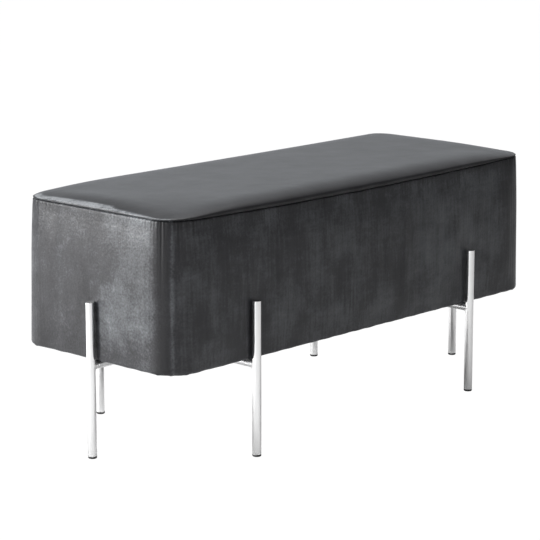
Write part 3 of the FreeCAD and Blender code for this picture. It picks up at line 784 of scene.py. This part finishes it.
def make_staples():
    """Short wires lying on the sheet, near its edge and along it."""
    rows = []
    for side in (-1, 1):
        for x in np.arange(-10, 11) * staple_step:
            rows.append((x, side * (sheet_high.y - 6 * MM), 0.0))
        for y in np.arange(-3, 4) * staple_step + staple_step / 2:
            if abs(y) < sheet_high.y - 30 * MM:
                rows.append((side * (sheet_high.x - 6 * MM), y, math.pi / 2))
    points = []
    faces = []
    profile = [(-0.5, 1.2), (-0.5, 0.25), (-0.42, 0.0), (0.42, 0.0), (0.5, 0.25), (0.5, 1.2)]
    for number, (x, y, turn) in enumerate(rows):
        turn += math.radians(5) * math.sin(7.3 * number)
        first = len(points)
        for along_share, rise in profile:
            centre = along_share * staple_width
            for corner in range(6):
                angle = corner * math.pi / 3
                sideways = staple_wire * math.cos(angle)
                up = staple_wire * math.sin(angle) + rise * MM
                points.append((
                    x + centre * math.cos(turn) - sideways * math.sin(turn),
                    y + centre * math.sin(turn) + sideways * math.cos(turn),
                    sheet_low.z - 0.2 * MM + up,
                ))
        faces += [tuple(face) for face in ring_faces(len(profile), 6) + first]
        faces.append(tuple(first + corner for corner in range(5, -1, -1)))
        faces.append(tuple(first + len(profile) * 6 - 6 + corner for corner in range(6)))
    print("staples:", len(rows))
    return make_piece("staples", points, faces)


staples = make_staples()

# %% Weld beads
tube_radius = 8 * MM
bead_reach = 3.2 * MM


def make_weld_beads():
    """One bead at each of the eight joints, on the side where the joined tube starts."""
    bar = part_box("crossbar_right")
    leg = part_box("leg_front_right")
    end_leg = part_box("leg_end_right")
    bar_x = (bar[0].x + bar[1].x) / 2
    bar_z = (bar[0].z + bar[1].z) / 2
    leg_y = -(leg[0].y + leg[1].y) / 2
    end_x = (end_leg[0].x + end_leg[1].x) / 2
    joints = []
    for side in (-1, 1):
        for face in (-1, 1):
            joints.append(((side * bar_x, face * leg_y, bar_z), (0, -face, 0), (0, 0, 1)))
        joints.append(((side * end_x, 0, bar_z), (-side, 0, 0), (0, 0, 1)))
        joints.append(((side * bar_x, 0, bar_z), (side, 0, 0), (0, 1, 0)))
    long_radius = math.hypot(tube_radius, tube_radius + bead_reach)
    points = []
    faces = []
    rings = 14
    around = 28
    for centre, forward, sideways in joints:
        forward = Vector(forward)
        sideways = Vector(sideways)
        across = forward.cross(sideways)
        first = len(points)
        for ring in range(rings):
            tip = math.pi / 2 * ring / (rings - 1)
            for step in range(around):
                angle = 2 * math.pi * step / around
                ripple = 1 + 0.012 * math.sin(9 * angle + 3 * ring)
                wide = math.cos(tip) * ripple
                long_part = long_radius * math.cos(angle) * wide
                if sideways.z > 0.5 and long_part > 0:
                    long_part *= 0.80
                point = (Vector(centre) + forward * long_radius * math.sin(tip)
                         + sideways * long_part + across * 1.012 * tube_radius * math.sin(angle) * wide)
                points.append(point)
        faces += [tuple(face) for face in ring_faces(rings, around) + first]
        faces.append(tuple(first + step for step in range(around - 1, -1, -1)))
    print("weld beads:", len(joints))
    return make_piece("weld_beads", points, faces)


weld_beads = make_weld_beads()

# %% [markdown]
# ## Velvet
# Velvet is a dense pile of short fibres. Looked at along the fibres it is nearly black, and at a
# flat angle the fibre sides catch light, which is the sheen of the shader. Where a hand has
# swept the pile it leans another way and looks lighter or darker. Noise at five scales makes
# that: broad strokes, streaks combed downwards, crushed patches, tufts and the grain of the pile.
# The four values kept at the points say where each of them is strong, and the first of them also
# brings in the painted highlights and painted shade of the velvet. A plain sheen alone would
# give an even cloth, without the marks that tell velvet from felt.


# %% A material and its parts
def new_material(name):
    """A node material, its node tree, its main shader and the coordinates for its noise."""
    material = bpy.data.materials.new(name)
    material.use_nodes = True
    tree = material.node_tree
    place = tree.nodes.new("ShaderNodeTexCoord")
    return material, tree, tree.nodes["Principled BSDF"], place


def add_noise(tree, source, stretch, scale, detail=4.0):
    """Noise over the object's own coordinates, stretched along its axes."""
    spread = tree.nodes.new("ShaderNodeMapping")
    spread.inputs["Scale"].default_value = stretch
    tree.links.new(source.outputs["Object"], spread.inputs["Vector"])
    texture = tree.nodes.new("ShaderNodeTexNoise")
    texture.inputs["Scale"].default_value = scale
    texture.inputs["Detail"].default_value = detail
    tree.links.new(spread.outputs["Vector"], texture.inputs["Vector"])
    return texture.outputs["Fac"]


def add_ramp(tree, value, stops):
    """A colour ramp from pairs of position and colour."""
    ramp = tree.nodes.new("ShaderNodeValToRGB")
    elements = ramp.color_ramp.elements
    while len(elements) < len(stops):
        elements.new(0.5)
    for element, (position, colour) in zip(elements, stops):
        element.position = position
        element.color = (*colour, 1)
    tree.links.new(value, ramp.inputs["Fac"])
    return ramp.outputs["Color"]


def add_bump(tree, shader, value, strength, distance, below=None):
    """Bump from a value, laid over an earlier bump if there is one."""
    bump = tree.nodes.new("ShaderNodeBump")
    bump.inputs["Strength"].default_value = strength
    bump.inputs["Distance"].default_value = distance
    tree.links.new(value, bump.inputs["Height"])
    if below is not None:
        tree.links.new(below, bump.inputs["Normal"])
    tree.links.new(bump.outputs["Normal"], shader.inputs["Normal"])
    return bump.outputs["Normal"]


# %% Small sums for the shaders
def add_math(tree, operation, first, second, third=None):
    """One sum of two or three sockets or numbers."""
    node = tree.nodes.new("ShaderNodeMath")
    node.operation = operation
    for socket, value in zip(node.inputs, (first, second, third)):
        if value is None:
            continue
        if isinstance(value, (int, float)):
            socket.default_value = value
        else:
            tree.links.new(value, socket)
    return node.outputs[0]


def add_attribute(tree, name):
    """The value that a piece keeps at each of its points under this name."""
    node = tree.nodes.new("ShaderNodeAttribute")
    node.attribute_name = name
    return node.outputs["Fac"]


# %% Velvet, charcoal
velvet_colours = [
    (0.0, (0.006, 0.006, 0.008)),
    (0.3, (0.022, 0.022, 0.026)),
    (0.6, (0.078, 0.083, 0.090)),
    (0.75, (0.115, 0.122, 0.132)),
    (1.0, (0.290, 0.302, 0.317)),
]


def make_velvet():
    """Charcoal velvet with swept patches and painted light and shade, vertical brushing and a ruffled pile.
    """
    material, tree, shader, place = new_material("charcoal_velvet")
    strokes = add_noise(tree, place, (1.0, 1.0, 0.85), 17.0, 8.0)
    streaks = add_noise(tree, place, (1.0, 1.0, 0.07), 210.0, 4.0)
    crushes = add_noise(tree, place, (0.3, 0.3, 1.0), 110.0, 4.0)
    tufts = add_noise(tree, place, (1.0, 1.0, 1.0), 260.0, 5.0)
    pile = add_noise(tree, place, (1.0, 1.0, 1.0), 1500.0, 2.0)
    stroked = add_attribute(tree, "stroked")
    ruffled = add_attribute(tree, "ruffled")
    brushed = add_attribute(tree, "brushed")
    combed = add_attribute(tree, "combed")
    combing = add_math(tree, "MULTIPLY", add_math(tree, "SUBTRACT", streaks, 0.5), combed)
    light = add_math(tree, "MULTIPLY_ADD", strokes, 1.3, -0.65)
    light = add_math(tree, "MULTIPLY_ADD", combing, 0.6, light)
    light = add_math(tree, "MULTIPLY_ADD", add_math(tree, "SUBTRACT", crushes, 0.5), 0.35, light)
    light = add_math(tree, "MULTIPLY", light, brushed)
    light = add_math(tree, "ADD", light, 0.4)
    tuft_part = add_math(tree, "SUBTRACT", tufts, 0.5)
    tuft_part = add_math(tree, "MULTIPLY", tuft_part, ruffled)
    light = add_math(tree, "MULTIPLY_ADD", tuft_part, 1.1, light)
    light = add_math(tree, "ADD", light, stroked)
    colour = add_ramp(tree, add_math(tree, "MULTIPLY", light, 0.75), velvet_colours)
    tree.links.new(colour, shader.inputs["Base Color"])
    rough = add_math(tree, "MULTIPLY_ADD", light, -0.16, 0.50)
    tree.links.new(rough, shader.inputs["Roughness"])
    shader.inputs["Specular IOR Level"].default_value = 0.5
    shader.inputs["Sheen Weight"].default_value = 0.2
    shader.inputs["Sheen Roughness"].default_value = 0.35
    shader.inputs["Sheen Tint"].default_value = (0.88, 0.94, 1.0, 1)
    broad = add_bump(tree, shader, strokes, 0.30, 3 * MM)
    middle = add_bump(tree, shader, combing, 0.12, 0.5 * MM, broad)
    tuft_height = add_math(tree, "MULTIPLY", tufts, ruffled)
    tufted = add_bump(tree, shader, tuft_height, 0.34, 1.2 * MM, middle)
    add_bump(tree, shader, pile, 0.25, 0.2 * MM, tufted)
    return material


velvet = make_velvet()
side_velvet.data.materials.append(velvet)
padded_top.data.materials.append(velvet)


# %% A finish with one kind of speckle
def make_speckled(name, noise_settings, stops, roughness, bump, metallic=0.0):
    """A finish whose colour and bump follow one noise."""
    material, tree, shader, place = new_material(name)
    speckles = add_noise(tree, place, *noise_settings)
    tree.links.new(add_ramp(tree, speckles, stops), shader.inputs["Base Color"])
    shader.inputs["Roughness"].default_value = roughness
    shader.inputs["Metallic"].default_value = metallic
    add_bump(tree, shader, speckles, *bump)
    return material


# %% Black sheet: faint fibres and a dull face
black_sheet = make_speckled(
    "black_sheet",
    ((1, 1, 1), 420.0, 6.0),
    [(0.35, (0.008, 0.008, 0.008)), (0.7, (0.03, 0.03, 0.03))],
    0.85,
    (0.4, 0.3 * MM),
)
under_sheet.data.materials.append(black_sheet)


# %% [markdown]
# ## Chrome, zinc, plastic and plywood
# The legs are polished and chromed, so they are nearly perfect mirrors: what they show is the
# room. A trace of roughness from fingerprints keeps them from looking computed. The bars under
# the seat get a satin chrome, which is a guess that brings them nearer to the photograph. The
# bolts are zinc plated and duller, the feet are black moulded plastic scuffed by the floor, and
# the boards inside the box are birch plywood. Each is a metal or plain shader with noise in it,
# because an even finish looks like plastic from a mould.

# %% Chrome, polished or satin
def make_chrome(name, noise_settings, rough_stops, tint_stops):
    """Chromed tube whose roughness and tint follow one noise."""
    material, tree, shader, place = new_material(name)
    marks = add_noise(tree, place, *noise_settings)
    tree.links.new(add_ramp(tree, marks, rough_stops), shader.inputs["Roughness"])
    tree.links.new(add_ramp(tree, marks, tint_stops), shader.inputs["Base Color"])
    shader.inputs["Metallic"].default_value = 1.0
    return material, tree, shader, marks


polished = make_chrome(
    "polished_chrome",
    ((1, 1, 0.4), 60.0, 5.0),
    [(0.45, (0.03, 0.03, 0.03)), (0.8, (0.08, 0.08, 0.08))],
    [(0.4, (0.94, 0.94, 0.94)), (0.8, (0.88, 0.885, 0.89))],
)[0]
satin, satin_tree, satin_shader, scratches = make_chrome(
    "satin_chrome",
    ((1, 1, 1), 400.0, 5.0),
    [(0.35, (0.24, 0.24, 0.24)), (0.7, (0.36, 0.36, 0.36))],
    [(0.3, (0.90, 0.90, 0.90)), (0.7, (0.82, 0.82, 0.83))],
)
add_bump(satin_tree, satin_shader, scratches, 0.05, 0.05 * MM)

# %% Zinc, plastic and plywood
zinc = make_speckled(
    "zinc_plated",
    ((1, 1, 1), 300.0, 4.0),
    [(0.3, (0.50, 0.51, 0.53)), (0.7, (0.66, 0.66, 0.64))],
    0.38,
    (0.1, 0.1 * MM),
    metallic=1.0,
)
foot_plastic = make_speckled(
    "foot_plastic",
    ((1, 1, 3), 500.0, 5.0),
    [(0.45, (0.022, 0.022, 0.024)), (0.75, (0.07, 0.07, 0.07))],
    0.5,
    (0.2, 0.2 * MM),
)
birch_plywood = make_speckled(
    "birch_plywood",
    ((0.15, 1, 1), 70.0, 6.0),
    [(0.3, (0.52, 0.36, 0.21)), (0.7, (0.72, 0.56, 0.37))],
    0.7,
    (0.15, 0.3 * MM),
)

# %% Give each node of the model its finish
finishes = {
    "polished_tube": polished,
    "plated_steel": zinc,
    "foot_plastic": foot_plastic,
    "plywood": birch_plywood,
}
staples.data.materials.append(finishes["plated_steel"])
weld_beads.data.materials.append(finishes["polished_tube"])
slots = {part["node"]: part["material_slot"] for part in frame["record"]["subparts"]}
for name, node in frame["nodes"].items():
    if slots[name] in finishes:
        node.data.materials.clear()
        node.data.materials.append(finishes[slots[name]])
for name in bar_names:
    frame["nodes"][name].data.materials[0] = satin
print("finished from the model:", sum(slots[name] in finishes for name in frame["nodes"]), "nodes")

# %% [markdown]
# ## Light, floor and camera
# The photograph is a product picture on a bright ground, lit softly from the left and above. A
# faint sky fills the shadows and is part of what the chrome mirrors. Two bright soft boxes on the
# left give the left end its shine, along with the highlights painted into its velvet, and dimmer
# ones behind, above, in front and to the right light the rest. Their strengths were set against
# the photograph, one area after another. Most areas still come out a little lighter than there,
# and the two legs at the left clearly so.

# %% Sky
world = bpy.data.worlds.new("soft_studio")
world.use_nodes = True
bpy.context.scene.world = world
sky = world.node_tree.nodes["Background"]
sky.inputs["Color"].default_value = (1, 1, 1, 1)
sky.inputs["Strength"].default_value = 0.14
print("sky strength:", round(sky.inputs["Strength"].default_value, 2))


# %% Soft boxes
def add_soft_box(name, azimuth, elevation, distance, width, height, brightness):
    """A soft box seen from the seat in some direction, with the brightness of its face."""
    aim = Vector((0, 0, 0.3))
    turn = math.radians(azimuth)
    lift = math.radians(elevation)
    away = Vector((math.cos(turn) * math.cos(lift), math.sin(turn) * math.cos(lift), math.sin(lift)))
    data = bpy.data.lights.new(name, "AREA")
    data.shape = "RECTANGLE"
    data.size = width
    data.size_y = height
    data.energy = brightness * math.pi * width * height
    lamp = bpy.data.objects.new(name, data)
    bpy.context.scene.collection.objects.link(lamp)
    lamp.location = aim + away * distance
    lamp.rotation_euler = (-away).to_track_quat("-Z", "Y").to_euler()
    lamp.visible_camera = False
    return lamp


add_soft_box("left_box", 152, 15, 3.2, 1.8, 1.3, 15.0)
add_soft_box("left_high_box", 122, 34, 3.2, 1.1, 0.8, 9.0)
add_soft_box("back_panel", 43, 17, 3.5, 3.0, 1.4, 0.33)
add_soft_box("overhead_box", 60, 80, 2.6, 2.4, 2.0, 2.8)
add_soft_box("near_fill", 257, 20, 3.2, 0.8, 1.2, 3.0)
add_soft_box("right_box", 0, 30, 3.2, 1.5, 1.0, 0.9)
print("soft boxes:", len(bpy.data.lights))

# %% [markdown]
# The floor is a plain pale sheet. In the product picture the ground looks cleared to white
# afterwards, while the chrome still mirrors the real, shaded floor. The same is done here: what
# the picture shows of the floor is nearly all plain white, and everything else sees it as paint.

# %% Floor
floor_mesh = bpy.data.meshes.new("floor")
floor_reach = 12.0
floor_mesh.from_pydata(
    [(-floor_reach, -floor_reach, 0), (floor_reach, -floor_reach, 0),
     (floor_reach, floor_reach, 0), (-floor_reach, floor_reach, 0)], [], [(0, 1, 2, 3)]
)
floor = bpy.data.objects.new("floor", floor_mesh)
bpy.context.scene.collection.objects.link(floor)
cleared_share = 0.96


def make_floor_paint():
    """Pale paint, cleared to white in what the picture itself shows."""
    material, tree, shader, place = new_material("pale_floor")
    shader.inputs["Base Color"].default_value = (0.93, 0.93, 0.93, 1)
    shader.inputs["Roughness"].default_value = 0.8
    white = tree.nodes.new("ShaderNodeEmission")
    white.inputs["Strength"].default_value = 1.04
    path = tree.nodes.new("ShaderNodeLightPath")
    share = tree.nodes.new("ShaderNodeMath")
    share.operation = "MULTIPLY"
    share.inputs[1].default_value = cleared_share
    mix = tree.nodes.new("ShaderNodeMixShader")
    tree.links.new(path.outputs["Is Camera Ray"], share.inputs[0])
    tree.links.new(share.outputs[0], mix.inputs[0])
    tree.links.new(shader.outputs[0], mix.inputs[1])
    tree.links.new(white.outputs[0], mix.inputs[2])
    output = tree.nodes["Material Output"]
    tree.links.new(mix.outputs[0], output.inputs["Surface"])
    return material


floor.data.materials.append(make_floor_paint())

# %% Camera
camera_place = (-2.9938, -2.7489, 1.1251)
camera_turn = 0.8196
camera_tilt = 0.2098
camera_lens = 145.42
camera_data = bpy.data.cameras.new("camera")
camera_data.lens = camera_lens
camera_data.sensor_width = 36
print("camera lens:", camera_lens, "mm")
camera = bpy.data.objects.new("camera", camera_data)
camera.location = camera_place
camera.rotation_euler = (math.pi / 2 - camera_tilt, 0, -camera_turn)
bpy.context.scene.collection.objects.link(camera)
bpy.context.scene.camera = camera
bpy.context.scene.view_settings.view_transform = "Standard"
